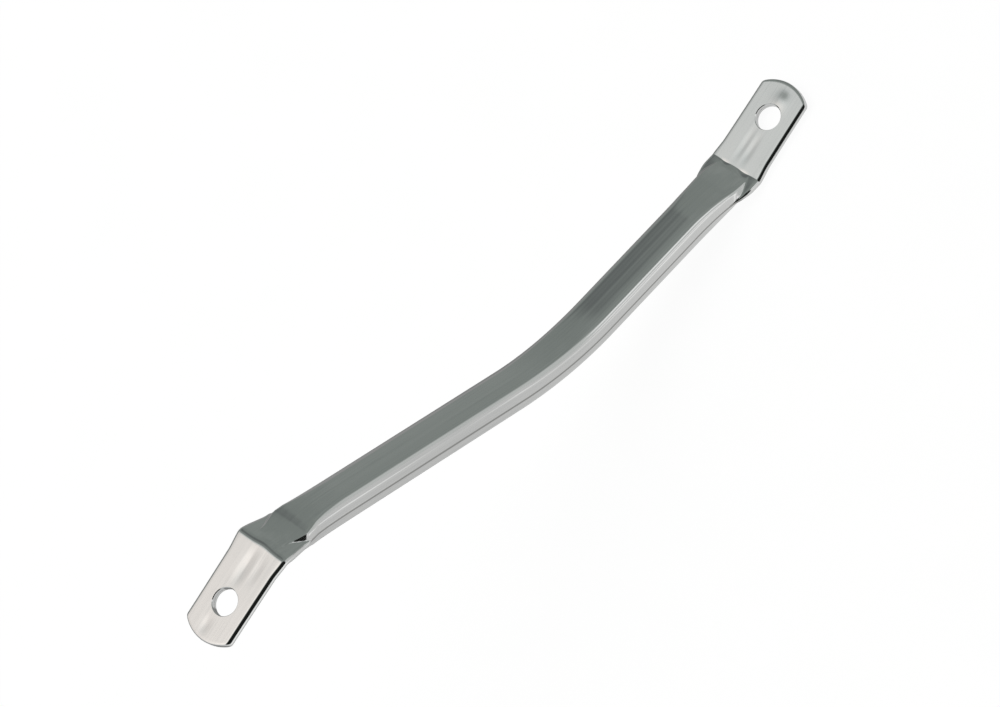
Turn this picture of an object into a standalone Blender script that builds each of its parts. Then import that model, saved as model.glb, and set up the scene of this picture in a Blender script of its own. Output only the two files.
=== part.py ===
"""A grab rail made from one length of round stainless steel tube.

The tube is pressed to a rounded rectangle along its middle and flat at both ends, bent three times about
its width, and punched with one bolt hole through each flat end. It is a single piece with no moving parts.

Metres, +Z up. The origin is midway between the rail's two ends, level with the low tab's underside. The rail
rises towards -X to the high tab, and its width runs along Y, evenly about the origin.
"""

import math
from collections import namedtuple

import bmesh
import bpy
import numpy as np

MM = 0.001

# The tube that the rail is made from: 16 mm across, with a 1.5 mm wall.
TUBE_WALL = 1.5 * MM

# The two flat tabs. Pressing leaves a hairline slit between the two layers of each tab.
TAB_SLIT = 0.3 * MM
TAB_THICKNESS = 2 * TUBE_WALL + TAB_SLIT
TAB_END_RADIUS = 16.2 * MM
HOLE_DIAMETER = 10.5 * MM
LOW_HOLE_TO_END = 15.5 * MM
LOW_HOLE_TO_BEND = 23.4 * MM
HIGH_HOLE_TO_END = 16.1 * MM
HIGH_HOLE_TO_BEND = 24.0 * MM

# The path between the tabs: a shallow leg from the low tab, then a steep leg to the high tab.
SHALLOW_LEG = 108.22 * MM
STEEP_LEG = 152.5 * MM
SHALLOW_ANGLE = math.radians(20.853)
STEEP_ANGLE = math.radians(43.0)
TAB_BEND_RADIUS = 2.5 * MM
MIDDLE_BEND_RADIUS = 128.0 * MM

# One section of the rail, as a quarter outline in millimetres. `along` is the distance from a tab's bend,
# negative on the tab. The outline starts at the top's middle, at half_height, and turns down at the rounded
# shoulder. It comes down the side wall to the root, runs out along the flange to its edge at half_width and
# edge_height, and turns down to the section's mid-plane. Past the fold, where the flange runs down into the
# wall, the edge is only a thin ridge along the middle of the wall.
Section = namedtuple(
    "Section", "along half_height shoulder shoulder_round root root_height edge_height half_width")

# From the low tab's end to the full section of the shallow leg.
LOW_END_SECTIONS = (
    Section(-40.0, 1.65, 6.6, 1.2, 8.8, 1.65, 1.65, 11.4),
    Section(-8.0, 1.65, 6.6, 1.2, 8.8, 1.65, 1.65, 11.6),
    Section(0.0, 1.65, 6.9, 0.8, 7.4, 1.65, 1.65, 12.3),
    Section(2.4, 1.85, 7.3, 0.3, 7.9, 1.65, 1.65, 12.3),
    Section(4.5, 2.4, 7.8, 0.3, 8.7, 1.6, 1.6, 12.3),
    Section(6.5, 2.95, 8.1, 0.4, 9.5, 1.4, 1.35, 12.1),
    Section(8.3, 3.4, 8.2, 0.6, 10.1, 1.15, 1.05, 11.7),
    Section(10.5, 3.9, 8.3, 1.0, 10.3, 0.9, 0.7, 11.1),
    Section(13.0, 4.4, 8.4, 1.5, 9.9, 0.7, 0.35, 10.2),
    Section(16.0, 4.85, 8.4, 2.0, 9.3, 0.7, 0.3, 9.55),
    Section(24.0, 5.75, 8.35, 3.0, 8.5, 0.7, 0.3, 8.75),
    Section(32.0, 6.15, 8.3, 3.6, 8.25, 0.7, 0.3, 8.47),
)

# From the high tab's end to the full section of the steep leg.
HIGH_END_SECTIONS = (
    Section(-42.0, 1.65, 6.6, 1.2, 8.8, 1.65, 1.65, 11.4),
    Section(-8.0, 1.65, 6.4, 1.2, 8.4, 1.65, 1.65, 11.6),
    Section(0.0, 1.65, 5.6, 0.8, 6.4, 1.65, 1.65, 12.3),
    Section(3.0, 1.7, 5.7, 0.6, 6.4, 1.65, 1.65, 12.1),
    Section(6.2, 2.0, 6.2, 0.4, 7.0, 1.6, 1.6, 11.6),
    Section(10.0, 2.75, 7.4, 0.25, 8.6, 1.45, 1.45, 11.0),
    Section(13.3, 3.55, 8.3, 0.25, 9.9, 1.3, 1.25, 10.5),
    Section(14.3, 3.85, 8.5, 0.8, 9.5, 0.7, 0.4, 9.9),
    Section(17.0, 4.6, 8.5, 1.6, 9.0, 0.7, 0.3, 9.25),
    Section(20.0, 5.2, 8.2, 2.2, 8.4, 0.7, 0.3, 8.65),
    Section(26.0, 5.8, 8.0, 3.0, 8.0, 0.7, 0.3, 8.22),
    Section(36.0, 6.15, 7.85, 3.4, 7.8, 0.7, 0.3, 8.02),
)

# Where the tube opens out, one ring of points lies at each of these distances from a tab's bend.
LOW_END_RINGS = (
    1.2, 2.4, 3.5, 4.5, 5.5, 6.5, 7.4, 8.3, 9.4, 10.5, 11.7, 13.0, 14.5, 16.0, 19.0, 22.0, 26.0, 32.0,
)
HIGH_END_RINGS = (
    1.6, 3.0, 4.6, 6.2, 8.1, 10.0, 11.6, 13.3, 13.8, 14.3, 15.6, 17.0, 18.5, 20.0, 23.0, 26.0, 30.0, 36.0,
)

# How finely the solid is divided.
TOP_STEPS = 2
SHOULDER_STEPS = 3
ROOT_STEPS = 1
EDGE_STEPS = 2
TAB_BEND_STEPS = 4
MIDDLE_BEND_STEPS = 8
HOLE_SIDES = 40


def clear_scene():
    for thing in list(bpy.data.objects):
        bpy.data.objects.remove(thing, do_unlink=True)


def steel_material():
    material = bpy.data.materials.new("polished_stainless_steel")
    material.use_nodes = True
    shader = material.node_tree.nodes["Principled BSDF"]
    shader.inputs["Base Color"].default_value = (0.66, 0.67, 0.66, 1.0)
    shader.inputs["Metallic"].default_value = 1.0
    shader.inputs["Roughness"].default_value = 0.12
    return material


class Path:
    """The rail's centre line in the XZ plane, from the low tab's end to the high tab's end."""

    def __init__(self):
        self.pieces = []
        self.bend_middles = []
        self.length = 0.0
        self.place = np.array([0.0, TAB_THICKNESS / 2])
        self.angle = 0.0
        tangents = [
            TAB_BEND_RADIUS * math.tan(SHALLOW_ANGLE / 2),
            MIDDLE_BEND_RADIUS * math.tan((STEEP_ANGLE - SHALLOW_ANGLE) / 2),
            TAB_BEND_RADIUS * math.tan(STEEP_ANGLE / 2),
        ]
        self.go_straight(LOW_HOLE_TO_END + LOW_HOLE_TO_BEND - tangents[0])
        self.bend_to(SHALLOW_ANGLE, TAB_BEND_RADIUS)
        self.go_straight(SHALLOW_LEG - tangents[0] - tangents[1])
        self.bend_to(STEEP_ANGLE, MIDDLE_BEND_RADIUS)
        self.go_straight(STEEP_LEG - tangents[1] - tangents[2])
        self.bend_to(0.0, TAB_BEND_RADIUS)
        self.go_straight(HIGH_HOLE_TO_BEND + HIGH_HOLE_TO_END - tangents[2])
        self.centre_over_origin()

    def go_straight(self, length):
        self.add_piece(length, self.angle)

    def bend_to(self, angle, radius):
        length = abs(angle - self.angle) * radius
        self.bend_middles.append(self.length + length / 2)
        self.add_piece(length, angle)

    def add_piece(self, length, end_angle):
        piece = (self.length, length, self.place, self.angle, end_angle)
        self.pieces.append(piece)
        self.length += length
        self.place, self.angle = self.along_piece(piece, length)

    def centre_over_origin(self):
        """Moves the whole path along X, so that its two ends are equally far from the origin."""
        half_run = np.array([self.place[0] / 2, 0.0])
        self.pieces = [(start, length, place - half_run, start_angle, end_angle)
                       for start, length, place, start_angle, end_angle in self.pieces]
        self.place = self.place - half_run

    @staticmethod
    def along_piece(piece, distance):
        """(place, angle) at this distance along one piece: a straight, or an arc that turns evenly."""
        _, length, place, start_angle, end_angle = piece
        angle = start_angle + (end_angle - start_angle) * distance / length
        middle_angle = (start_angle + angle) / 2
        half_turn = (angle - start_angle) / 2
        chord = distance * (math.sin(half_turn) / half_turn if half_turn else 1.0)
        return place + chord * np.array([-math.cos(middle_angle), math.sin(middle_angle)]), angle

    def at(self, distance):
        """(place, angle) at this distance from the low tab's end."""
        piece = [piece for piece in self.pieces if piece[0] <= distance + 1e-9][-1]
        return self.along_piece(piece, distance - piece[0])


def gentle_slopes(table):
    """Each column's slope at each row: zero where it turns round, so that no curve overshoots."""
    rises = np.diff(table, axis=0) / np.diff(table[:, :1], axis=0)
    before, after = rises[:-1], rises[1:]
    slopes = np.zeros_like(table)
    goes_on = before * after > 0
    slopes[1:-1][goes_on] = 2 * before[goes_on] * after[goes_on] / (before + after)[goes_on]
    return slopes


def smooth_between(sections, along):
    """The section at this distance, on a smooth curve through the given ones."""
    table = np.array(sections)
    along = min(max(along, table[0, 0]), table[-1, 0])
    slopes = gentle_slopes(table)
    row = min(int(np.searchsorted(table[:, 0], along, side="right")), len(table) - 1) - 1
    span = table[row + 1, 0] - table[row, 0]
    part = (along - table[row, 0]) / span
    before = (1 + 2 * part) * (1 - part) ** 2 * table[row] + part * (1 - part) ** 2 * span * slopes[row]
    after = part**2 * (3 - 2 * part) * table[row + 1] - part**2 * (1 - part) * span * slopes[row + 1]
    return Section(*(before + after))


def section_at(path, distance):
    """The outer section at this distance from the low tab's end."""
    low_bend, middle_bend, high_bend = path.bend_middles
    low = smooth_between(LOW_END_SECTIONS, (distance - low_bend) / MM)
    high = smooth_between(HIGH_END_SECTIONS, (high_bend - distance) / MM)
    reach = MIDDLE_BEND_RADIUS * (STEEP_ANGLE - SHALLOW_ANGLE) / 2
    part = min(max((distance - middle_bend) / reach / 2 + 0.5, 0.0), 1.0)
    share = part * part * (3 - 2 * part)
    return Section(*((1 - share) * np.array(low) + share * np.array(high)))


def outline_corners(section):
    """The quarter outline's four corners after the top's middle, as (sideways, up) in metres."""
    return np.array([
        (section.shoulder, section.half_height),
        (section.root, section.root_height),
        (section.half_width, section.edge_height),
        (section.half_width, 0.0),
    ]) * MM


def inset_corners(corners, depth):
    """The same corners moved in by the tube's wall, as far as the slit between the two layers."""
    directions = [np.array([1.0, 0.0])]
    for start, end in zip(corners, corners[1:]):
        directions.append((end - start) / np.linalg.norm(end - start))
    outward = [np.array([-direction[1], direction[0]]) for direction in directions]
    moved = []
    for corner, before, after in zip(corners, outward, outward[1:]):
        moved.append(corner - depth * (before + after) / (1 + before @ after))
    shoulder, root, edge = [np.maximum(corner, TAB_SLIT / 2) for corner in moved]
    edge[0] = max(edge[0], root[0] + TAB_SLIT)
    return np.array([shoulder, root, edge, (edge[0], 0.0)])


def rounded_corner(before, corner, after, steps):
    """Points of the curve from `before` to `after`: an arc where both are equally far from the corner."""
    into = (corner - before) / np.linalg.norm(corner - before)
    out_of = (after - corner) / np.linalg.norm(after - corner)
    weight = math.sqrt(max((1 + into @ out_of) / 2, 0.0))
    points = []
    for part in np.linspace(0.0, 1.0, steps + 1):
        shares = np.array([(1 - part) ** 2, 2 * part * (1 - part) * weight, part**2])
        points.append((shares @ np.array([before, corner, after])) / shares.sum())
    return points


def quarter_outline(corners, shoulder_round):
    """Points from the top's middle to the mid-plane at the side."""
    shoulder, root, edge, side = corners
    wall = (root - shoulder) / np.linalg.norm(root - shoulder)
    wall_length = np.linalg.norm(root - shoulder)
    flange = (edge - root) / np.linalg.norm(edge - root)
    flange_length = np.linalg.norm(edge - root)
    shoulder_reach = min(shoulder_round, 0.6 * wall_length)
    root_reach = min(0.4 * MM, 0.3 * wall_length, 0.3 * flange_length)
    edge_reach = min(edge[1], 0.62 * flange_length)
    across = np.array([1.0, 0.0])
    top_end = shoulder - across * shoulder_reach
    points = [np.array([0.0, shoulder[1]]) * (1 - part) + top_end * part
              for part in np.linspace(0.0, 1.0, TOP_STEPS + 1)[:-1]]
    points += rounded_corner(top_end, shoulder, shoulder + wall * shoulder_reach, SHOULDER_STEPS)
    points += rounded_corner(root - wall * root_reach, root, root + flange * root_reach, ROOT_STEPS)
    points += rounded_corner(edge - flange * edge_reach, edge, side, EDGE_STEPS)
    return points


def whole_outline(quarter):
    """The closed outline from its quarter, starting at the top's middle and going round by the -Y side."""
    quarter = np.array(quarter)
    top_left = quarter * (-1, 1)
    bottom_left = quarter[-2::-1] * (-1, -1)
    bottom_right = quarter[1:] * (1, -1)
    top_right = quarter[-2:0:-1]
    return np.concatenate([top_left, bottom_left, bottom_right, top_right])


def end_arc_shift(path, distance, sideways):
    """How far a tab's end is cut back at this point's side, fading out before the tab's bend."""
    cut_back = TAB_END_RADIUS - np.sqrt(TAB_END_RADIUS**2 - sideways**2)
    low_bend, _, high_bend = path.bend_middles
    from_low_end = max(1 - distance / (low_bend - TAB_BEND_RADIUS), 0.0)
    from_high_end = max(1 - (path.length - distance) / (path.length - high_bend - TAB_BEND_RADIUS), 0.0)
    return cut_back * (from_high_end - from_low_end)


def ring(path, distance, inner):
    """One ring of points round the rail at this distance, on its outer or its inner skin."""
    section = section_at(path, distance)
    corners = outline_corners(section)
    shoulder_round = section.shoulder_round * MM
    if inner:
        corners = inset_corners(corners, TUBE_WALL)
        shoulder_round *= 0.5
    outline = whole_outline(quarter_outline(corners, shoulder_round))
    place, angle = path.at(distance)
    sideways, up = outline[:, 0], outline[:, 1]
    x = place[0] + up * math.sin(angle) + end_arc_shift(path, distance, sideways)
    z = place[1] + up * math.cos(angle)
    return np.stack([x, sideways, z], axis=1)


def ring_distances(path):
    """Where the rings are: close together at the bends and where the tube opens out, far apart between."""
    low_bend, middle_bend, high_bend = path.bend_middles
    low_turn = TAB_BEND_RADIUS * SHALLOW_ANGLE / 2
    high_turn = TAB_BEND_RADIUS * STEEP_ANGLE / 2
    middle_turn = MIDDLE_BEND_RADIUS * (STEEP_ANGLE - SHALLOW_ANGLE) / 2
    return np.concatenate([
        np.linspace(0.0, low_bend - low_turn, 3)[:-1],
        np.linspace(low_bend - low_turn, low_bend + low_turn, TAB_BEND_STEPS + 1),
        low_bend + np.array(LOW_END_RINGS) * MM,
        np.linspace(middle_bend - middle_turn, middle_bend + middle_turn, MIDDLE_BEND_STEPS + 1),
        (high_bend - np.array(HIGH_END_RINGS) * MM)[::-1],
        np.linspace(high_bend - high_turn, high_bend + high_turn, TAB_BEND_STEPS + 1),
        np.linspace(high_bend + high_turn, path.length, 3)[1:],
    ])


def skin_faces(first, rings, sides, outward):
    """The quads of one skin, whose rings of points are numbered from `first` on."""
    faces = []
    for row in range(rings - 1):
        for side in range(sides):
            beside = (side + 1) % sides
            near, far = first + row * sides, first + (row + 1) * sides
            face = (near + side, far + side, far + beside, near + beside)
            faces.append(face if outward else face[::-1])
    return faces


def rim_faces(outer, inner, sides, at_start):
    """The quads that close one end of the wall, between the outer ring and the inner ring."""
    faces = []
    for side in range(sides):
        beside = (side + 1) % sides
        face = (outer + side, outer + beside, inner + beside, inner + side)
        faces.append(face if at_start else face[::-1])
    return faces


def rail_mesh(path):
    distances = ring_distances(path)
    outer_rings = [ring(path, distance, inner=False) for distance in distances]
    inner_rings = [ring(path, distance, inner=True) for distance in distances]
    rings, sides = len(distances), len(outer_rings[0])
    points = np.concatenate(outer_rings + inner_rings)
    inner_start = rings * sides
    faces = skin_faces(0, rings, sides, outward=True)
    faces += skin_faces(inner_start, rings, sides, outward=False)
    faces += rim_faces(0, inner_start, sides, at_start=True)
    faces += rim_faces((rings - 1) * sides, inner_start + (rings - 1) * sides, sides, at_start=False)
    mesh = bpy.data.meshes.new("rail_tube")
    mesh.from_pydata(points.tolist(), [], faces)
    mesh.update()
    return mesh


def hole_cutter(name, x, z):
    """A round cutter that stands on end through both layers of a tab."""
    mesh = bpy.data.meshes.new(name)
    shape = bmesh.new()
    radius = HOLE_DIAMETER / 2
    bmesh.ops.create_cone(shape, cap_ends=True, segments=HOLE_SIDES, radius1=radius, radius2=radius,
                          depth=4 * TAB_THICKNESS)
    shape.to_mesh(mesh)
    shape.free()
    cutter = bpy.data.objects.new(name, mesh)
    bpy.context.scene.collection.objects.link(cutter)
    cutter.location = (x, 0.0, z)
    cutter.hide_render = True
    cutter.display_type = "WIRE"
    return cutter


def punch(rail, cutter):
    cut = rail.modifiers.new(cutter.name, "BOOLEAN")
    cut.operation = "DIFFERENCE"
    cut.solver = "EXACT"
    cut.object = cutter


def build_rail():
    path = Path()
    rail = bpy.data.objects.new("rail_tube", rail_mesh(path))
    bpy.context.scene.collection.objects.link(rail)
    rail.data.materials.append(steel_material())
    rail.data.shade_smooth()
    rail.data.set_sharp_from_angle(angle=math.radians(35))
    low_hole, _ = path.at(LOW_HOLE_TO_END)
    high_hole, _ = path.at(path.length - HIGH_HOLE_TO_END)
    punch(rail, hole_cutter("low_hole_cutter", *low_hole))
    punch(rail, hole_cutter("high_hole_cutter", *high_hole))


clear_scene()
build_rail()
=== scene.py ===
"""Looks for the grab rail: a polished stainless tube, bent three times and pressed flat at both ends.

One piece, rail_skin, stands for the CAD node rail_tube. It follows the same path and the same sections, and
adds the marks of the press tools and the rounded edges that the plain solid leaves out.
Lengths in the Section and Mark tables are in millimetres, and everything else is in metres.
"""

import math
from collections import namedtuple

import bmesh
import bpy
import numpy as np
from mathutils import Matrix, Vector


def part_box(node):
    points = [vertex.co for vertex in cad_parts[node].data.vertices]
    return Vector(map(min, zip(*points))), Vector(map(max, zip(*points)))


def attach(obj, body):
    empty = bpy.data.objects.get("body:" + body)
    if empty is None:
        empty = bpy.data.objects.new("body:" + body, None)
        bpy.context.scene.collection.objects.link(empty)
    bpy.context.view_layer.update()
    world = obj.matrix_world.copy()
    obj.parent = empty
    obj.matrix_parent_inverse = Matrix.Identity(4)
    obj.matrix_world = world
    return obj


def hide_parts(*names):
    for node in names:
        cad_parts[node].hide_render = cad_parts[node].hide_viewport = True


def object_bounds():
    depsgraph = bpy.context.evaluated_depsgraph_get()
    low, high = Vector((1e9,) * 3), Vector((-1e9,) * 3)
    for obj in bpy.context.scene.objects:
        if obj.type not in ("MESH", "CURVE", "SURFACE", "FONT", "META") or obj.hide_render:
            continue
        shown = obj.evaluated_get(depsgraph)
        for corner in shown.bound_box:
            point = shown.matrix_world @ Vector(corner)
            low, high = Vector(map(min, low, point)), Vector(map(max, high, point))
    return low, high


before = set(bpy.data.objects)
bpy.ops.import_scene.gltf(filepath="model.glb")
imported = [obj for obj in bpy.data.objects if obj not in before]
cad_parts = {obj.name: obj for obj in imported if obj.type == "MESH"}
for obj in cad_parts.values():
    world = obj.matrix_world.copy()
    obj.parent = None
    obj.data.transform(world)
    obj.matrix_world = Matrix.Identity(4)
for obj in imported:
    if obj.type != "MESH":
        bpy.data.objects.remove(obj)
CAD_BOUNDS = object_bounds()
MM = 0.001

# The wall is a little thicker than the CAD's, so that the slit between a tab's two layers is nearly shut.
TUBE_WALL = 1.6 * MM
HALF_SLIT = 0.05 * MM

# The tabs, the holes and the rail's path, as in the CAD.
TAB_THICKNESS = 3.3 * MM
TAB_END_RADIUS = 16.2 * MM
HOLE_DIAMETER = 10.5 * MM
LOW_HOLE_TO_END = 15.5 * MM
LOW_HOLE_TO_BEND = 23.4 * MM
HIGH_HOLE_TO_END = 16.1 * MM
HIGH_HOLE_TO_BEND = 24.0 * MM
SHALLOW_LEG = 108.22 * MM
STEEP_LEG = 152.5 * MM
SHALLOW_ANGLE = math.radians(20.853)
STEEP_ANGLE = math.radians(43.0)
TAB_BEND_RADIUS = 2.5 * MM
MIDDLE_BEND_RADIUS = 128.0 * MM

# A quarter outline of the rail, `along` from a tab's bend. The wall comes down from the shoulder, at
# half_height, to the root, and the flange runs on to its outer edge at half_width and edge_height. Along the
# body the flange has folded down into the wall, and only a thin ridge is left of it.
Section = namedtuple(
    "Section", "along half_height shoulder shoulder_round root root_height edge_height half_width")

LOW_END_SECTIONS = (
    Section(-40.0, 1.65, 6.6, 1.2, 8.8, 1.65, 1.65, 11.4),
    Section(-8.0, 1.65, 6.6, 1.2, 8.8, 1.65, 1.65, 11.6),
    Section(0.0, 1.65, 6.9, 0.8, 7.4, 1.65, 1.65, 12.3),
    Section(2.4, 1.85, 7.3, 0.3, 7.9, 1.65, 1.65, 12.3),
    Section(4.5, 2.4, 7.8, 0.3, 8.7, 1.6, 1.6, 12.3),
    Section(6.5, 2.95, 8.1, 0.4, 9.5, 1.4, 1.35, 12.1),
    Section(8.3, 3.4, 8.2, 0.6, 10.1, 1.15, 1.05, 11.7),
    Section(10.5, 3.9, 8.3, 1.0, 10.3, 0.9, 0.7, 11.1),
    Section(13.0, 4.4, 8.4, 1.5, 9.9, 0.7, 0.35, 10.2),
    Section(16.0, 4.85, 8.4, 2.0, 9.3, 0.7, 0.3, 9.55),
    Section(24.0, 5.75, 8.35, 3.0, 8.5, 0.7, 0.3, 8.75),
    Section(32.0, 6.15, 8.3, 3.6, 8.25, 0.7, 0.3, 8.47),
)

HIGH_END_SECTIONS = (
    Section(-42.0, 1.65, 6.6, 1.2, 8.8, 1.65, 1.65, 11.4),
    Section(-8.0, 1.65, 6.4, 1.2, 8.4, 1.65, 1.65, 11.6),
    Section(0.0, 1.65, 5.6, 0.8, 6.4, 1.65, 1.65, 12.3),
    Section(3.0, 1.7, 5.7, 0.6, 6.4, 1.65, 1.65, 12.1),
    Section(6.2, 2.0, 6.2, 0.4, 7.0, 1.6, 1.6, 11.6),
    Section(10.0, 2.75, 7.4, 0.25, 8.6, 1.45, 1.45, 11.0),
    Section(13.3, 3.55, 8.3, 0.25, 9.9, 1.3, 1.25, 10.5),
    Section(14.3, 3.85, 8.5, 0.8, 9.5, 0.7, 0.4, 9.9),
    Section(17.0, 4.6, 8.5, 1.6, 9.0, 0.7, 0.3, 9.25),
    Section(20.0, 5.2, 8.2, 2.2, 8.4, 0.7, 0.3, 8.65),
    Section(26.0, 5.8, 8.0, 3.0, 8.0, 0.7, 0.3, 8.22),
    Section(36.0, 6.15, 7.85, 3.4, 7.8, 0.7, 0.3, 8.02),
)

# What the press and the bending leave on the top: a low swelling, or with a negative height a hollow. It
# comes up from `start` to `peak` and dies away at `end`, measured from the tab's bend as in the sections.
Mark = namedtuple("Mark", "start peak end sideways half_width height")

LOW_MARKS = (
    Mark(-0.6, 1.9, 13.0, 5.2, 2.2, -0.3),
    Mark(-0.6, 2.6, 16.0, -4.4, 2.6, -0.5),
    Mark(-21.0, -9.0, -0.5, 2.0, 1.3, -0.14),
    Mark(-19.0, -8.0, -0.5, -1.6, 1.3, -0.14),
    Mark(-36.5, -31.0, -26.0, -0.9, 2.8, 0.22),
)
HIGH_MARKS = (
    Mark(-1.5, 2.5, 14.0, -1.2, 4.2, 0.6),
    Mark(-19.5, -9.0, 0.5, 0.8, 1.9, -0.28),
    Mark(-17.0, -8.0, 0.0, -4.4, 1.6, -0.1),
    Mark(-40.0, -34.5, -29.5, 1.6, 1.8, -0.14),
)

# The body's top swells this much in the middle, and is faintly rippled across by two sets of waves, of which
# the wide ones wander sideways along the rail. The swell and the ripples come up as the half height, in
# millimetres, goes from the tab's to the body's.
TOP_SWELL = 0.35 * MM
RIPPLE = 0.016 * MM
WIDE_WAVE = 0.55 * MM
NARROW_WAVE = 0.3 * MM
WANDER = 1.5
WANDER_LENGTH = 41 * MM
TAB_HALF_HEIGHT = 1.65
BODY_HALF_HEIGHT = 6.1

# The corners of the outline: each is rounded by its own radius, but over no more than these shares of the
# wall or the flange beside it.
ROOT_ROUND = 0.4 * MM
WALL_SHARE_AT_SHOULDER = 0.7
SHARE_AT_ROOT = 0.3
FLANGE_SHARE_AT_EDGE = 0.62
INNER_ROUND_SHARE = 0.5

# How finely the skin is divided. The inner skin's rings are INNER_SPACING times as far apart as the outer's.
TOP_STEPS = 12
SHOULDER_STEPS = 8
WALL_STEPS = 5
ROOT_STEPS = 3
FLANGE_STEPS = 4
EDGE_STEPS = 6
HOLE_SIDES = 96
INNER_SPACING = 4.0
SHARP_ANGLE = math.radians(38)

# Each tab's end is an arc, and the rings straighten out from there to this far before the tab's bend.
STRAIGHT_BY_BEND = 12 * MM

# Past a tab's bend the tube has opened out fully within this length.
OPENING_LENGTH = 38 * MM

# How much the sheared end edges and the holes' rims are broken.
END_ROUNDING = 0.6 * MM
HOLE_RIM = 0.25 * MM

# The thin dark line along the middle of each side is painted shade: darker colour painted into the steel
# where the flange has folded into the wall. It comes in as the flange's edge height, in millimetres,
# falls from FOLD_OPEN to FOLD_SHUT.
FOLD_CREASE_SHADE_REACH = 0.55 * MM
FOLD_OPEN = 1.2
FOLD_SHUT = 0.5

STEEL = (0.73, 0.735, 0.725, 1.0)
DULLER_STEEL = (0.64, 0.65, 0.645, 1.0)
# Painted shade: the dark colour painted along the fold in the middle of each side.
FOLD_CREASE_SHADE_COLOUR = (0.34, 0.34, 0.33, 1.0)
UNEVENNESS = 0.012 * MM

# The floor lies this far under the rail. Its paper has two faint tones, and glows evenly for the camera; for
# the steel its glow carries painted light and shade, as reflected_floor gives.
FLOOR_HALF = 6.0
FLOOR_GAP = 1 * MM
PAPER = ((0.11, 0.11, 0.11, 1.0), (0.13, 0.13, 0.13, 1.0))
PAPER_SEEN = 0.93

# The room's walls have two tones, and its panel goes from the first colour to the second towards +X.
WHITE = (1.0, 1.0, 1.0, 1.0)
ROOM = ((0.225, 0.25, 0.238, 1.0), (0.285, 0.31, 0.298, 1.0))
DIM_CORNER = (0.145, 0.158, 0.157, 1.0)
CAMERA_DARK = (0.012, 0.013, 0.012, 1.0)
PANEL = ((1.06, 1.0, 0.96, 1.0), (0.67, 0.695, 0.69, 1.0))

# Round cards on the room's walls, each laid over the ones before: a pale one at the high end, a white and a
# grey one low beside the camera, and a small white one above them. A card is full within `inner` degrees of
# its direction and gone beyond `outer`.
Card = namedtuple("Card", "azimuth elevation inner outer colour")

CARDS = (
    Card(180.0, 30.0, 15.0, 50.0, (0.62, 0.63, 0.64, 1.0)),
    Card(-72.0, 8.0, 8.0, 16.0, (1.0, 0.99, 1.0, 1.0)),
    Card(-42.0, 8.0, 16.0, 28.0, (0.6, 0.62, 0.61, 1.0)),
    Card(-56.0, 27.0, 5.0, 10.0, (0.97, 0.98, 0.98, 1.0)),
)

LAMP_PLACE = Vector((-0.5, 0.5, 2.0))
LAMP_SIZE = 1.6
LAMP_POWER = 12.0

CAMERA_PLACE = Vector((14.26, -797.02, 1439.14)) * MM
CAMERA_AIM = Vector((-2.08, 0.0, 77.34)) * MM
CAMERA_ROLL = math.radians(-58.164)
SENSOR_WIDTH_IN_MM = 36.0
LENS_IN_MM = 152.684


class Path:
    """The rail's centre line in the XZ plane, from the low tab's end to the high tab's end."""

    def __init__(self, start):
        self.pieces = []
        self.bend_middles = []
        self.length = 0.0
        self.place = np.array(start)
        self.angle = 0.0
        tangents = [
            TAB_BEND_RADIUS * math.tan(SHALLOW_ANGLE / 2),
            MIDDLE_BEND_RADIUS * math.tan((STEEP_ANGLE - SHALLOW_ANGLE) / 2),
            TAB_BEND_RADIUS * math.tan(STEEP_ANGLE / 2),
        ]
        self.go_straight(LOW_HOLE_TO_END + LOW_HOLE_TO_BEND - tangents[0])
        self.bend_to(SHALLOW_ANGLE, TAB_BEND_RADIUS)
        self.go_straight(SHALLOW_LEG - tangents[0] - tangents[1])
        self.bend_to(STEEP_ANGLE, MIDDLE_BEND_RADIUS)
        self.go_straight(STEEP_LEG - tangents[1] - tangents[2])
        self.bend_to(0.0, TAB_BEND_RADIUS)
        self.go_straight(HIGH_HOLE_TO_BEND + HIGH_HOLE_TO_END - tangents[2])

    def go_straight(self, length):
        self.add_piece(length, self.angle)

    def bend_to(self, angle, radius):
        length = abs(angle - self.angle) * radius
        self.bend_middles.append(self.length + length / 2)
        self.add_piece(length, angle)

    def add_piece(self, length, end_angle):
        piece = (self.length, length, self.place, self.angle, end_angle)
        self.pieces.append(piece)
        self.length += length
        self.place, self.angle = self.along_piece(piece, length)

    @staticmethod
    def along_piece(piece, distance):
        _, length, place, start_angle, end_angle = piece
        angle = start_angle + (end_angle - start_angle) * distance / length
        middle_angle = (start_angle + angle) / 2
        half_turn = (angle - start_angle) / 2
        chord = distance * (math.sin(half_turn) / half_turn if half_turn else 1.0)
        return place + chord * np.array([-math.cos(middle_angle), math.sin(middle_angle)]), angle

    def at(self, distance):
        """(place, angle) at this distance from the low tab's end."""
        piece = [piece for piece in self.pieces if piece[0] <= distance + 1e-9][-1]
        return self.along_piece(piece, distance - piece[0])


def gentle_slopes(table):
    """Each column's slope at each row: zero where it levels out or turns, so that no curve overshoots."""
    rises = np.diff(table, axis=0) / np.diff(table[:, :1], axis=0)
    before, after = rises[:-1], rises[1:]
    slopes = np.zeros_like(table)
    goes_on = before * after > 0
    slopes[1:-1][goes_on] = 2 * before[goes_on] * after[goes_on] / (before + after)[goes_on]
    return slopes


def smooth_between(sections, along):
    table = np.array(sections)
    along = min(max(along, table[0, 0]), table[-1, 0])
    slopes = gentle_slopes(table)
    row = min(int(np.searchsorted(table[:, 0], along, side="right")), len(table) - 1) - 1
    span = table[row + 1, 0] - table[row, 0]
    part = (along - table[row, 0]) / span
    before = (1 + 2 * part) * (1 - part) ** 2 * table[row] + part * (1 - part) ** 2 * span * slopes[row]
    after = part**2 * (3 - 2 * part) * table[row + 1] - part**2 * (1 - part) * span * slopes[row + 1]
    return Section(*(before + after))


def eased(part):
    """0 up to 0, 1 from 1 on, smooth between."""
    part = min(max(part, 0.0), 1.0)
    return part * part * (3 - 2 * part)


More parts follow.
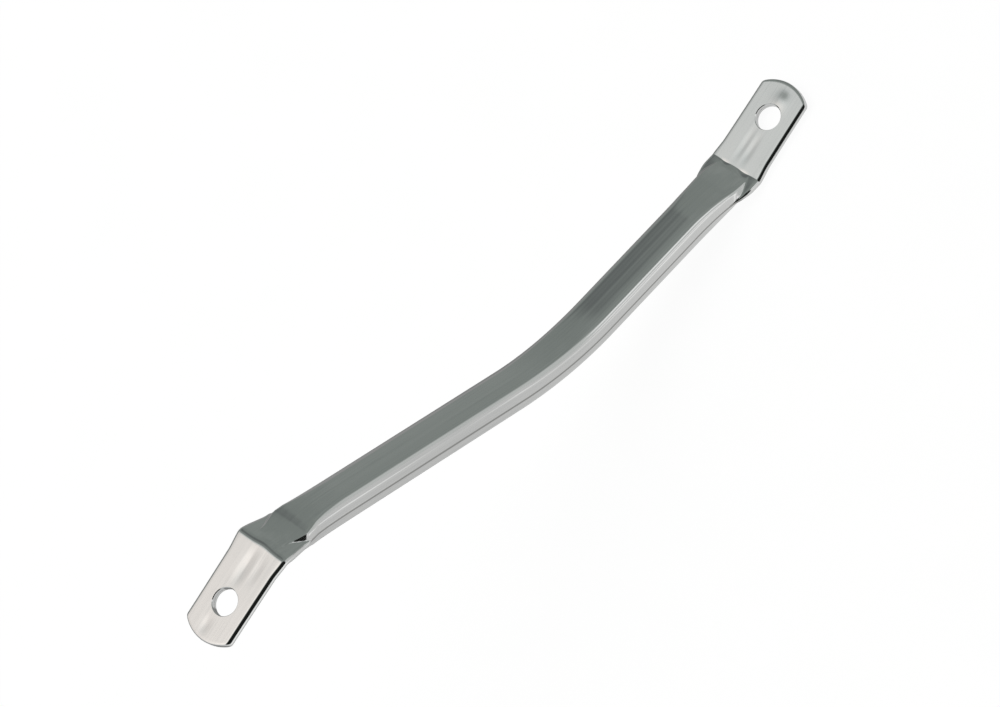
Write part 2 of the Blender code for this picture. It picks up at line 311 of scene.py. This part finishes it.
def section_at(path, distance):
    low_bend, middle_bend, high_bend = path.bend_middles
    low = smooth_between(LOW_END_SECTIONS, (distance - low_bend) / MM)
    high = smooth_between(HIGH_END_SECTIONS, (high_bend - distance) / MM)
    reach = MIDDLE_BEND_RADIUS * (STEEP_ANGLE - SHALLOW_ANGLE) / 2
    share = eased((distance - middle_bend) / reach / 2 + 0.5)
    return Section(*((1 - share) * np.array(low) + share * np.array(high)))


def outline_corners(section):
    return np.array([
        (section.shoulder, section.half_height),
        (section.root, section.root_height),
        (section.half_width, section.edge_height),
        (section.half_width, 0.0),
    ]) * MM


def inset_corners(corners, depth):
    """The corners moved in, so that each side of the outline moves in by `depth`, down to a thin slit."""
    directions = [np.array([1.0, 0.0])]
    for start, end in zip(corners, corners[1:]):
        directions.append((end - start) / np.linalg.norm(end - start))
    outward = [np.array([-direction[1], direction[0]]) for direction in directions]
    moved = []
    for corner, before, after in zip(corners, outward, outward[1:]):
        moved.append(corner - depth * (before + after) / (1 + before @ after))
    shoulder, root, edge = [np.maximum(corner, HALF_SLIT) for corner in moved]
    edge[0] = max(edge[0], root[0] + 2 * HALF_SLIT)
    return np.array([shoulder, root, edge, (edge[0], 0.0)])


def straight(start, end, steps):
    """Points from start up to end, without end itself."""
    return [start + (end - start) * part for part in np.linspace(0.0, 1.0, steps + 1)[:-1]]


def rounded_corner(before, corner, after, steps):
    """Points of the curve from `before` to `after`, without `after` itself."""
    into = (corner - before) / np.linalg.norm(corner - before)
    out_of = (after - corner) / np.linalg.norm(after - corner)
    weight = math.sqrt(max((1 + into @ out_of) / 2, 0.0))
    points = []
    for part in np.linspace(0.0, 1.0, steps + 1)[:-1]:
        shares = np.array([(1 - part) ** 2, 2 * part * (1 - part) * weight, part**2])
        points.append((shares @ np.array([before, corner, after])) / shares.sum())
    return points


def quarter_outline(corners, shoulder_round):
    """Points from the top's middle to the mid-plane at the side."""
    shoulder, root, edge, side = corners
    wall = (root - shoulder) / np.linalg.norm(root - shoulder)
    wall_length = np.linalg.norm(root - shoulder)
    flange = (edge - root) / np.linalg.norm(edge - root)
    flange_length = np.linalg.norm(edge - root)
    shoulder_reach = min(shoulder_round, WALL_SHARE_AT_SHOULDER * wall_length)
    root_reach = min(ROOT_ROUND, SHARE_AT_ROOT * wall_length, SHARE_AT_ROOT * flange_length)
    edge_reach = min(edge[1], FLANGE_SHARE_AT_EDGE * flange_length)
    top_end = shoulder - np.array([shoulder_reach, 0.0])
    shoulder_end = shoulder + wall * shoulder_reach
    root_start = root - wall * root_reach
    root_end = root + flange * root_reach
    edge_start = edge - flange * edge_reach
    points = straight(np.array([0.0, shoulder[1]]), top_end, TOP_STEPS)
    points += rounded_corner(top_end, shoulder, shoulder_end, SHOULDER_STEPS)
    points += straight(shoulder_end, root_start, WALL_STEPS)
    points += rounded_corner(root_start, root, root_end, ROOT_STEPS)
    points += straight(root_end, edge_start, FLANGE_STEPS)
    points += rounded_corner(edge_start, edge, side, EDGE_STEPS)
    return points + [side]


def whole_outline(quarter):
    """The closed outline from its quarter, starting at the top's middle and going round by the -Y side."""
    quarter = np.array(quarter)
    near = [quarter * (-1, 1), quarter[-2::-1] * (-1, -1)]
    far = [quarter[1:] * (1, -1), quarter[-2:0:-1]]
    return np.concatenate(near + far)


def end_arc_shift(path, distance, sideways):
    """How far a tab's end is cut back at this point's side, fading out before the tab's bend."""
    cut_back = TAB_END_RADIUS - np.sqrt(TAB_END_RADIUS**2 - sideways**2)
    low_bend, _, high_bend = path.bend_middles
    low_reach = low_bend - STRAIGHT_BY_BEND
    high_reach = path.length - high_bend - STRAIGHT_BY_BEND
    low_share = max(1 - distance / low_reach, 0.0)
    high_share = max(1 - (path.length - distance) / high_reach, 0.0)
    return cut_back * (high_share - low_share)


def marked(marks, along, sideways):
    """How much the marks raise these points, in metres."""
    rise = np.zeros(len(sideways))
    for mark in marks:
        share = eased((along - mark.start) / (mark.peak - mark.start))
        share *= eased((mark.end - along) / (mark.end - mark.peak))
        across = (sideways / MM - mark.sideways) / mark.half_width
        rise += mark.height * MM * share * np.exp(-(across**2))
    return rise


def relief(path, distance, section, outline):
    """How far each point of the top stands out from the plain outline."""
    low_bend, _, high_bend = path.bend_middles
    sideways = outline[:, 0]
    rise = marked(LOW_MARKS, (distance - low_bend) / MM, sideways)
    rise += marked(HIGH_MARKS, (high_bend - distance) / MM, sideways)
    openness = (section.half_height - TAB_HALF_HEIGHT) / (BODY_HALF_HEIGHT - TAB_HALF_HEIGHT)
    rise += TOP_SWELL * openness * (1 - (sideways / (section.shoulder * MM)) ** 2)
    wander = WANDER * math.sin(distance / WANDER_LENGTH)
    waves = np.sin(sideways / WIDE_WAVE + wander) + 0.5 * np.sin(sideways / NARROW_WAVE)
    rise += RIPPLE * openness * waves
    on_top = np.clip(outline[:, 1] / (section.half_height * MM), 0.0, 1.0) ** 4
    return rise * on_top


def plain_outline(path, distance, depth):
    """The outline at this distance as (sideways, up), without marks, `depth` under the outer skin."""
    section = section_at(path, distance)
    corners = outline_corners(section)
    shoulder_round = section.shoulder_round * MM
    if depth:
        corners = inset_corners(corners, depth)
        shoulder_round *= INNER_ROUND_SHARE
    return whole_outline(quarter_outline(corners, shoulder_round))


def ring(path, distance, depth):
    """One ring of points round the rail at this distance."""
    section = section_at(path, distance)
    outline = plain_outline(path, distance, depth)
    place, angle = path.at(distance)
    sideways = outline[:, 0]
    up = outline[:, 1] + (0.0 if depth else relief(path, distance, section, outline))
    x = place[0] + up * math.sin(angle) + end_arc_shift(path, distance, sideways)
    z = place[1] + up * math.cos(angle)
    return np.stack([x, sideways, z], axis=1)


def ring_distances(path, spacing):
    """Where the rings are, closest together at the folds and bends. `spacing` widens every step."""
    low_bend, middle_bend, high_bend = path.bend_middles
    low_turn = TAB_BEND_RADIUS * SHALLOW_ANGLE / 2
    high_turn = TAB_BEND_RADIUS * STEEP_ANGLE / 2
    middle_turn = MIDDLE_BEND_RADIUS * (STEEP_ANGLE - SHALLOW_ANGLE) / 2
    stops = [
        (END_ROUNDING, 1.0 * MM),
        (low_bend - low_turn, 0.1 * MM),
        (low_bend + low_turn, 0.4 * MM),
        (low_bend + OPENING_LENGTH, 2.5 * MM),
        (middle_bend - middle_turn, 2.0 * MM),
        (middle_bend + middle_turn, 2.5 * MM),
        (high_bend - OPENING_LENGTH, 0.4 * MM),
        (high_bend - high_turn, 0.1 * MM),
        (high_bend + high_turn, 1.0 * MM),
        (path.length - END_ROUNDING, 1.0 * MM),
    ]
    distances = []
    for (start, step), (end, _) in zip(stops, stops[1:]):
        count = max(math.ceil((end - start) / (step * spacing)), 1)
        distances += list(np.linspace(start, end, count + 1)[:-1])
    return distances + [stops[-1][0]]


def end_rounding_rings():
    """(distance, depth) of the outer rings that round off the low end's sheared edge, end face first."""
    rings = []
    for part in (0.0, 0.33, 0.67):
        turn = part * math.pi / 2
        depth = END_ROUNDING * (1 - math.sin(turn))
        distance = END_ROUNDING * (1 - math.cos(turn))
        rings.append((distance, depth))
    return rings


def skin_faces(first, rings, sides, outward):
    faces = []
    for row in range(rings - 1):
        for side in range(sides):
            beside = (side + 1) % sides
            near, far = first + row * sides, first + (row + 1) * sides
            face = (near + side, far + side, far + beside, near + beside)
            faces.append(face if outward else face[::-1])
    return faces


def rim_faces(outer, inner, sides, at_start):
    faces = []
    for side in range(sides):
        beside = (side + 1) % sides
        face = (outer + side, outer + beside, inner + beside, inner + side)
        faces.append(face if at_start else face[::-1])
    return faces


def outer_and_inner_rings(path):
    """(distance, depth) of each ring of the outer skin, and of each ring of the inner skin."""
    rounding = end_rounding_rings()
    outer = list(rounding)
    outer += [(distance, 0.0) for distance in ring_distances(path, 1.0)]
    outer += [(path.length - distance, depth) for distance, depth in rounding[::-1]]
    inner_distances = [0.0] + ring_distances(path, INNER_SPACING)[1:-1] + [path.length]
    return outer, [(distance, TUBE_WALL) for distance in inner_distances]


def rail_mesh(path):
    outer, inner = outer_and_inner_rings(path)
    rings = [ring(path, distance, depth) for distance, depth in outer + inner]
    sides = len(rings[0])
    inner_start = len(outer) * sides
    last_outer = inner_start - sides
    last_inner = inner_start + (len(inner) - 1) * sides
    faces = skin_faces(0, len(outer), sides, outward=True)
    faces += skin_faces(inner_start, len(inner), sides, outward=False)
    faces += rim_faces(0, inner_start, sides, at_start=True)
    faces += rim_faces(last_outer, last_inner, sides, at_start=False)
    mesh = bpy.data.meshes.new("rail_skin")
    mesh.from_pydata(np.concatenate(rings).tolist(), [], faces)
    mesh.update()
    lay_out(mesh, [distance for distance, _ in outer + inner], rings)
    # Each point's share of the painted shade along the fold.
    shares = [fold_crease_shade_share(path, distance, depth) for distance, depth in outer + inner]
    fold_crease_shade = mesh.attributes.new("fold_crease_shade", "FLOAT", "POINT")
    fold_crease_shade.data.foreach_set("value", np.concatenate(shares))
    return mesh


def fold_crease_shade_share(path, distance, depth):
    """How much painted shade each point of a ring gets: a thin dark line where the flange has folded into
    the wall.
    """
    section = section_at(path, distance)
    outline = plain_outline(path, distance, depth)
    folded = eased((FOLD_OPEN - section.edge_height) / (FOLD_OPEN - FOLD_SHUT))
    return folded * np.exp(-((outline[:, 1] / FOLD_CREASE_SHADE_REACH) ** 4))


def lay_out(mesh, distances, rings):
    """A texture map in millimetres: along the rail, and round it from the top's middle."""
    sides = len(rings[0])
    around = []
    for points in rings:
        steps = np.linalg.norm(np.diff(points, axis=0, append=points[:1]), axis=1)
        around.append(np.concatenate([[0.0], np.cumsum(steps)]))
    layer = mesh.uv_layers.new(name="along_and_around")
    for face in mesh.polygons:
        columns = [index % sides for index in face.vertices]
        wraps = max(columns) - min(columns) > 1
        past_bottom = wraps or min(columns) >= sides // 2
        for loop, index, column in zip(face.loop_indices, face.vertices, columns):
            row = index // sides
            length = around[row]
            column = sides if wraps and column == 0 else column
            turn = length[column] - (length[-1] if past_bottom else 0.0)
            layer.uv[loop].vector = (distances[row] / MM, turn / MM)


def hole_cutter(name, x, z):
    """A round cutter that stands upright through a tab and flares at both faces, to break the rims."""
    radius = HOLE_DIAMETER / 2
    half = TAB_THICKNESS / 2
    flared_radius = radius + HOLE_RIM + half
    profile = [(flared_radius, 2 * half), (radius, half - HOLE_RIM)]
    profile += [(across, -up) for across, up in profile[::-1]]
    turns = [math.tau * side / HOLE_SIDES for side in range(HOLE_SIDES)]
    shape = bmesh.new()
    rings = []
    for across, up in profile:
        points = [(across * math.cos(turn), across * math.sin(turn), up) for turn in turns]
        rings.append([shape.verts.new(point) for point in points])
    for upper, lower in zip(rings, rings[1:]):
        for side in range(HOLE_SIDES):
            shape.faces.new((upper[side - 1], lower[side - 1], lower[side], upper[side]))
    shape.faces.new(rings[0])
    shape.faces.new(rings[-1][::-1])
    mesh = bpy.data.meshes.new(name)
    shape.to_mesh(mesh)
    shape.free()
    cutter = bpy.data.objects.new(name, mesh)
    bpy.context.scene.collection.objects.link(cutter)
    cutter.location = (x, 0.0, z)
    return cutter


def punch(rail, cutter):
    cut = rail.modifiers.new(cutter.name, "BOOLEAN")
    cut.operation = "DIFFERENCE"
    cut.solver = "EXACT"
    cut.object = cutter
    bpy.context.view_layer.objects.active = rail
    bpy.ops.object.modifier_apply(modifier=cut.name)
    bpy.data.objects.remove(cutter, do_unlink=True)


def build_rail(material):
    low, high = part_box("rail_tube")
    path = Path((high.x, low.z + TAB_THICKNESS / 2))
    rail = bpy.data.objects.new("rail_skin", rail_mesh(path))
    bpy.context.scene.collection.objects.link(rail)
    low_hole, _ = path.at(LOW_HOLE_TO_END)
    high_hole, _ = path.at(path.length - HIGH_HOLE_TO_END)
    punch(rail, hole_cutter("low_hole_cutter", *low_hole))
    punch(rail, hole_cutter("high_hole_cutter", *high_hole))
    rail.data.materials.append(material)
    rail.data.shade_smooth()
    rail.data.set_sharp_from_angle(angle=SHARP_ANGLE)
    return rail


class Nodes:
    """Short calls for building a node tree."""

    def __init__(self, tree, material=None):
        self.tree = tree
        self.material = material

    def add(self, kind, **settings):
        node = self.tree.nodes.new(kind)
        for name, value in settings.items():
            setattr(node, name, value)
        return node

    def feed(self, socket, value):
        if isinstance(value, bpy.types.NodeSocket):
            self.tree.links.new(value, socket)
        else:
            socket.default_value = value

    def math(self, operation, first, second=0.0):
        node = self.add("ShaderNodeMath", operation=operation)
        self.feed(node.inputs[0], first)
        self.feed(node.inputs[1], second)
        return node.outputs[0]

    def product(self, first, *others):
        for other in others:
            first = self.math("MULTIPLY", first, other)
        return first

    def weighted_sum(self, pairs):
        total = 0.0
        for value, weight in pairs:
            total = self.math("ADD", total, self.math("MULTIPLY", value, weight))
        return total

    def fade(self, value, start, end):
        """0 up to `start`, 1 from `end` on, smooth between. `start` may be the larger."""
        node = self.add("ShaderNodeMapRange", interpolation_type="SMOOTHSTEP")
        self.feed(node.inputs["Value"], value)
        node.inputs["From Min"].default_value = start
        node.inputs["From Max"].default_value = end
        return node.outputs["Result"]

    def mix(self, factor, first, second):
        node = self.add("ShaderNodeMix", data_type="RGBA")
        self.feed(node.inputs[0], factor)
        self.feed(node.inputs[6], first)
        self.feed(node.inputs[7], second)
        return node.outputs[2]

    def blend(self, factor, first, second):
        node = self.add("ShaderNodeMix", data_type="FLOAT")
        self.feed(node.inputs[0], factor)
        self.feed(node.inputs[2], first)
        self.feed(node.inputs[3], second)
        return node.outputs[0]

    def tint(self, colour, strength):
        node = self.add("ShaderNodeVectorMath", operation="SCALE")
        self.feed(node.inputs[0], colour)
        node.inputs["Scale"].default_value = strength
        return node.outputs["Vector"]

    def dot(self, first, second):
        node = self.add("ShaderNodeVectorMath", operation="DOT_PRODUCT")
        self.feed(node.inputs[0], first)
        self.feed(node.inputs[1], second)
        return node.outputs["Value"]

    def cap(self, ray, azimuth, elevation, inner, outer):
        """1 where the ray is within `inner` degrees of this direction, and 0 beyond `outer` degrees."""
        near = self.dot(ray, direction_from(azimuth, elevation))
        return self.fade(near, math.cos(math.radians(outer)), math.cos(math.radians(inner)))

    def noise(self, place, scale, detail):
        """Noise from 0 to 1 at this place, the place first multiplied by `scale`."""
        mapping = self.add("ShaderNodeMapping")
        self.feed(mapping.inputs["Vector"], place)
        mapping.inputs["Scale"].default_value = scale
        node = self.add("ShaderNodeTexNoise")
        self.feed(node.inputs["Vector"], mapping.outputs["Vector"])
        node.inputs["Scale"].default_value = 1.0
        node.inputs["Detail"].default_value = detail
        return node.outputs["Fac"]


def new_material(name):
    material = bpy.data.materials.new(name)
    material.use_nodes = True
    return Nodes(material.node_tree, material), material.node_tree.nodes["Principled BSDF"]


def polished_steel():
    """Buffed stainless steel: fine lines along the rail, faint smudges, a slightly uneven surface, and a
    thin dark line of painted shade along the fold in the middle of each side.
    """
    nodes, shader = new_material("polished_steel")
    layout = nodes.add("ShaderNodeTexCoord")
    fine_lines = nodes.noise(layout.outputs["UV"], (0.06, 5.0, 1.0), detail=3.0)
    broad_lines = nodes.noise(layout.outputs["UV"], (0.012, 0.9, 1.0), detail=4.0)
    smudges = nodes.noise(layout.outputs["Object"], (60.0, 60.0, 60.0), detail=5.0)
    grain = nodes.noise(layout.outputs["Object"], (900.0, 900.0, 900.0), detail=2.0)
    duller = nodes.product(nodes.fade(broad_lines, 0.42, 0.75), nodes.fade(smudges, 0.2, 0.8))
    # Painted shade: the thin dark line along the fold in the middle of each side.
    fold_crease_shade = nodes.add("ShaderNodeAttribute", attribute_name="fold_crease_shade").outputs["Fac"]
    colour = nodes.mix(duller, STEEL, DULLER_STEEL)
    nodes.feed(shader.inputs["Base Color"], nodes.mix(fold_crease_shade, colour, FOLD_CREASE_SHADE_COLOUR))
    shader.inputs["Metallic"].default_value = 1.0
    roughness = nodes.add("ShaderNodeMapRange")
    nodes.feed(roughness.inputs["Value"], nodes.weighted_sum(((smudges, 1.0), (fine_lines, 0.7))))
    roughness.inputs["From Min"].default_value = 0.5
    roughness.inputs["From Max"].default_value = 1.2
    roughness.inputs["To Min"].default_value = 0.07
    roughness.inputs["To Max"].default_value = 0.15
    nodes.feed(shader.inputs["Roughness"], roughness.outputs["Result"])
    height = nodes.weighted_sum(((broad_lines, 0.7), (fine_lines, 0.03), (grain, 0.03), (smudges, 2.0)))
    bump = nodes.add("ShaderNodeBump")
    bump.inputs["Strength"].default_value = 1.0
    bump.inputs["Distance"].default_value = UNEVENNESS
    nodes.feed(bump.inputs["Height"], height)
    nodes.feed(shader.inputs["Normal"], bump.outputs["Normal"])
    return nodes.material


def reflected_floor(nodes, place):
    """How brightly the floor glows for the steel, with light and shade painted into the glow: a painted
    shadow just behind the rail, painted shade close by it in front, bright farther in front and dim far off.
    """
    across = nodes.dot(place, (1.0, 0.0, 0.0))
    forward = nodes.dot(place, (0.0, -1.0, 0.0))
    by_the_rail = nodes.blend(nodes.fade(across, -0.12, 0.14), 0.55, 0.68)
    near = nodes.blend(nodes.fade(forward, -0.02, 0.0), 0.2, by_the_rail)
    farther = nodes.blend(nodes.fade(across, 0.02, 0.11), 0.6, 1.05)
    farthest = nodes.blend(nodes.fade(across, 0.05, 0.0), 0.6, 0.95)
    outer = nodes.blend(nodes.fade(forward, 0.15, 0.2), farther, farthest)
    lit = nodes.blend(nodes.fade(forward, 0.03, 0.13), near, outer)
    sideways = nodes.math("DIVIDE", across, nodes.math("MAXIMUM", forward, 0.01))
    to_the_front = nodes.product(nodes.fade(sideways, 1.9, 1.3), nodes.fade(forward, 0.0, 0.1))
    far_off = nodes.fade(nodes.math("ABSOLUTE", forward), 0.12, 0.3)
    unlit = nodes.product(far_off, nodes.math("SUBTRACT", 1.0, to_the_front))
    return nodes.blend(unlit, lit, 0.28)


def pale_floor():
    """White paper. The camera sees it evenly white, and the steel sees its glow with the painted light and
    shade that reflected_floor gives.
    """
    nodes, shader = new_material("pale_floor")
    place = nodes.add("ShaderNodeTexCoord").outputs["Object"]
    paper = nodes.noise(place, (30.0, 30.0, 30.0), detail=4.0)
    nodes.feed(shader.inputs["Base Color"], nodes.mix(paper, *PAPER))
    shader.inputs["Roughness"].default_value = 0.95
    shader.inputs["Specular IOR Level"].default_value = 0.0
    seen = nodes.add("ShaderNodeLightPath").outputs["Is Camera Ray"]
    shader.inputs["Emission Color"].default_value = WHITE
    # For the steel the floor's glow carries a painted shadow by the rail and painted light in front of it.
    strength = nodes.blend(seen, reflected_floor(nodes, place), PAPER_SEEN)
    nodes.feed(shader.inputs["Emission Strength"], strength)
    return nodes.material


def build_floor(material):
    mesh = bpy.data.meshes.new("floor")
    corners = [(-1, -1), (1, -1), (1, 1), (-1, 1)]
    mesh.from_pydata([(FLOOR_HALF * x, FLOOR_HALF * y, 0.0) for x, y in corners], [], [(0, 1, 2, 3)])
    floor = bpy.data.objects.new("floor", mesh)
    bpy.context.scene.collection.objects.link(floor)
    floor.location.z = CAD_BOUNDS[0].z - FLOOR_GAP
    mesh.materials.append(material)


def direction_from(azimuth, elevation):
    """A direction by its azimuth from +X towards +Y and its elevation, both in degrees."""
    turn, rise = math.radians(azimuth), math.radians(elevation)
    return (math.cos(turn) * math.cos(rise), math.sin(turn) * math.cos(rise), math.sin(rise))


def studio_world():
    """The room: plainly white to the camera, and to the steel as reflected_room says."""
    world = bpy.data.worlds.new("studio")
    bpy.context.scene.world = world
    world.use_nodes = True
    tree = world.node_tree
    tree.nodes.clear()
    nodes = Nodes(tree)
    room = nodes.add("ShaderNodeBackground")
    nodes.feed(room.inputs["Color"], reflected_room(nodes))
    plain = nodes.add("ShaderNodeBackground")
    plain.inputs["Color"].default_value = WHITE
    seen = nodes.add("ShaderNodeLightPath").outputs["Is Camera Ray"]
    both = nodes.add("ShaderNodeMixShader")
    nodes.feed(both.inputs[0], seen)
    nodes.feed(both.inputs[1], room.outputs[0])
    nodes.feed(both.inputs[2], plain.outputs[0])
    output = nodes.add("ShaderNodeOutputWorld")
    tree.links.new(both.outputs[0], output.inputs["Surface"])


def reflected_room(nodes):
    """Grey walls with a dim corner and four cards, the dark round the camera, and a bright panel above."""
    ray = nodes.add("ShaderNodeTexCoord").outputs["Generated"]
    parts = nodes.add("ShaderNodeSeparateXYZ")
    nodes.feed(parts.inputs[0], ray)
    x, y, z = parts.outputs[0], parts.outputs[1], parts.outputs[2]
    uneven = nodes.noise(ray, (2.6, 2.6, 2.6), detail=3.0)
    colour = nodes.mix(nodes.fade(uneven, 0.3, 0.7), *ROOM)
    on_dim = nodes.product(
        nodes.fade(x, 0.3, 0.46),
        nodes.fade(x, 0.68, 0.56),
        nodes.fade(y, 0.15, 0.62),
        nodes.fade(y, 0.95, 0.65),
        nodes.fade(z, 0.2, 0.45),
    )
    colour = nodes.mix(on_dim, colour, DIM_CORNER)
    for card in CARDS:
        on_card = nodes.cap(ray, card.azimuth, card.elevation, card.inner, card.outer)
        colour = nodes.mix(on_card, colour, card.colour)
    by_the_camera = nodes.cap(ray, -100.0, 45.0, 36.0, 47.0)
    on_dark = nodes.product(by_the_camera, nodes.fade(x, 0.44, 0.37), nodes.fade(z, 0.02, 0.12))
    colour = nodes.mix(on_dark, colour, CAMERA_DARK)
    panel = nodes.mix(nodes.fade(x, -0.14, 0.12), *PANEL)
    panel = nodes.mix(nodes.fade(y, 0.36, 0.66), nodes.tint(panel, 1.18), nodes.tint(panel, 0.82))
    on_panel = nodes.product(
        nodes.fade(x, 0.2, 0.09),
        nodes.fade(x, -0.75, -0.5),
        nodes.fade(y, 0.05, 0.25),
        nodes.fade(z, 0.35, 0.55),
    )
    return nodes.mix(on_panel, colour, panel)


def soft_light():
    lamp = bpy.data.lights.new("soft_key", "AREA")
    lamp.shape = "DISK"
    lamp.size = LAMP_SIZE
    lamp.energy = LAMP_POWER
    light = bpy.data.objects.new("soft_key", lamp)
    bpy.context.scene.collection.objects.link(light)
    light.location = LAMP_PLACE
    light.rotation_mode = "QUATERNION"
    light.rotation_quaternion = LAMP_PLACE.to_track_quat("Z", "Y")
    light.visible_glossy = False


def place_camera():
    forward = (CAMERA_AIM - CAMERA_PLACE).normalized()
    level = forward.cross(Vector((0.0, 0.0, 1.0))).normalized()
    above = level.cross(forward)
    right = level * math.cos(CAMERA_ROLL) + above * math.sin(CAMERA_ROLL)
    up = right.cross(forward)
    turned = Matrix((right, up, -forward)).transposed().to_4x4()
    lens = bpy.data.cameras.new("camera")
    lens.sensor_width = SENSOR_WIDTH_IN_MM
    lens.lens = LENS_IN_MM
    lens.clip_start = 0.05
    lens.clip_end = 50.0
    camera = bpy.data.objects.new("camera", lens)
    bpy.context.scene.collection.objects.link(camera)
    camera.matrix_world = Matrix.Translation(CAMERA_PLACE) @ turned
    bpy.context.scene.camera = camera


skin = build_rail(polished_steel())
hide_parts("rail_tube")
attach(skin, "root")
build_floor(pale_floor())
studio_world()
soft_light()
place_camera()
bpy.context.scene.view_settings.view_transform = "Standard"
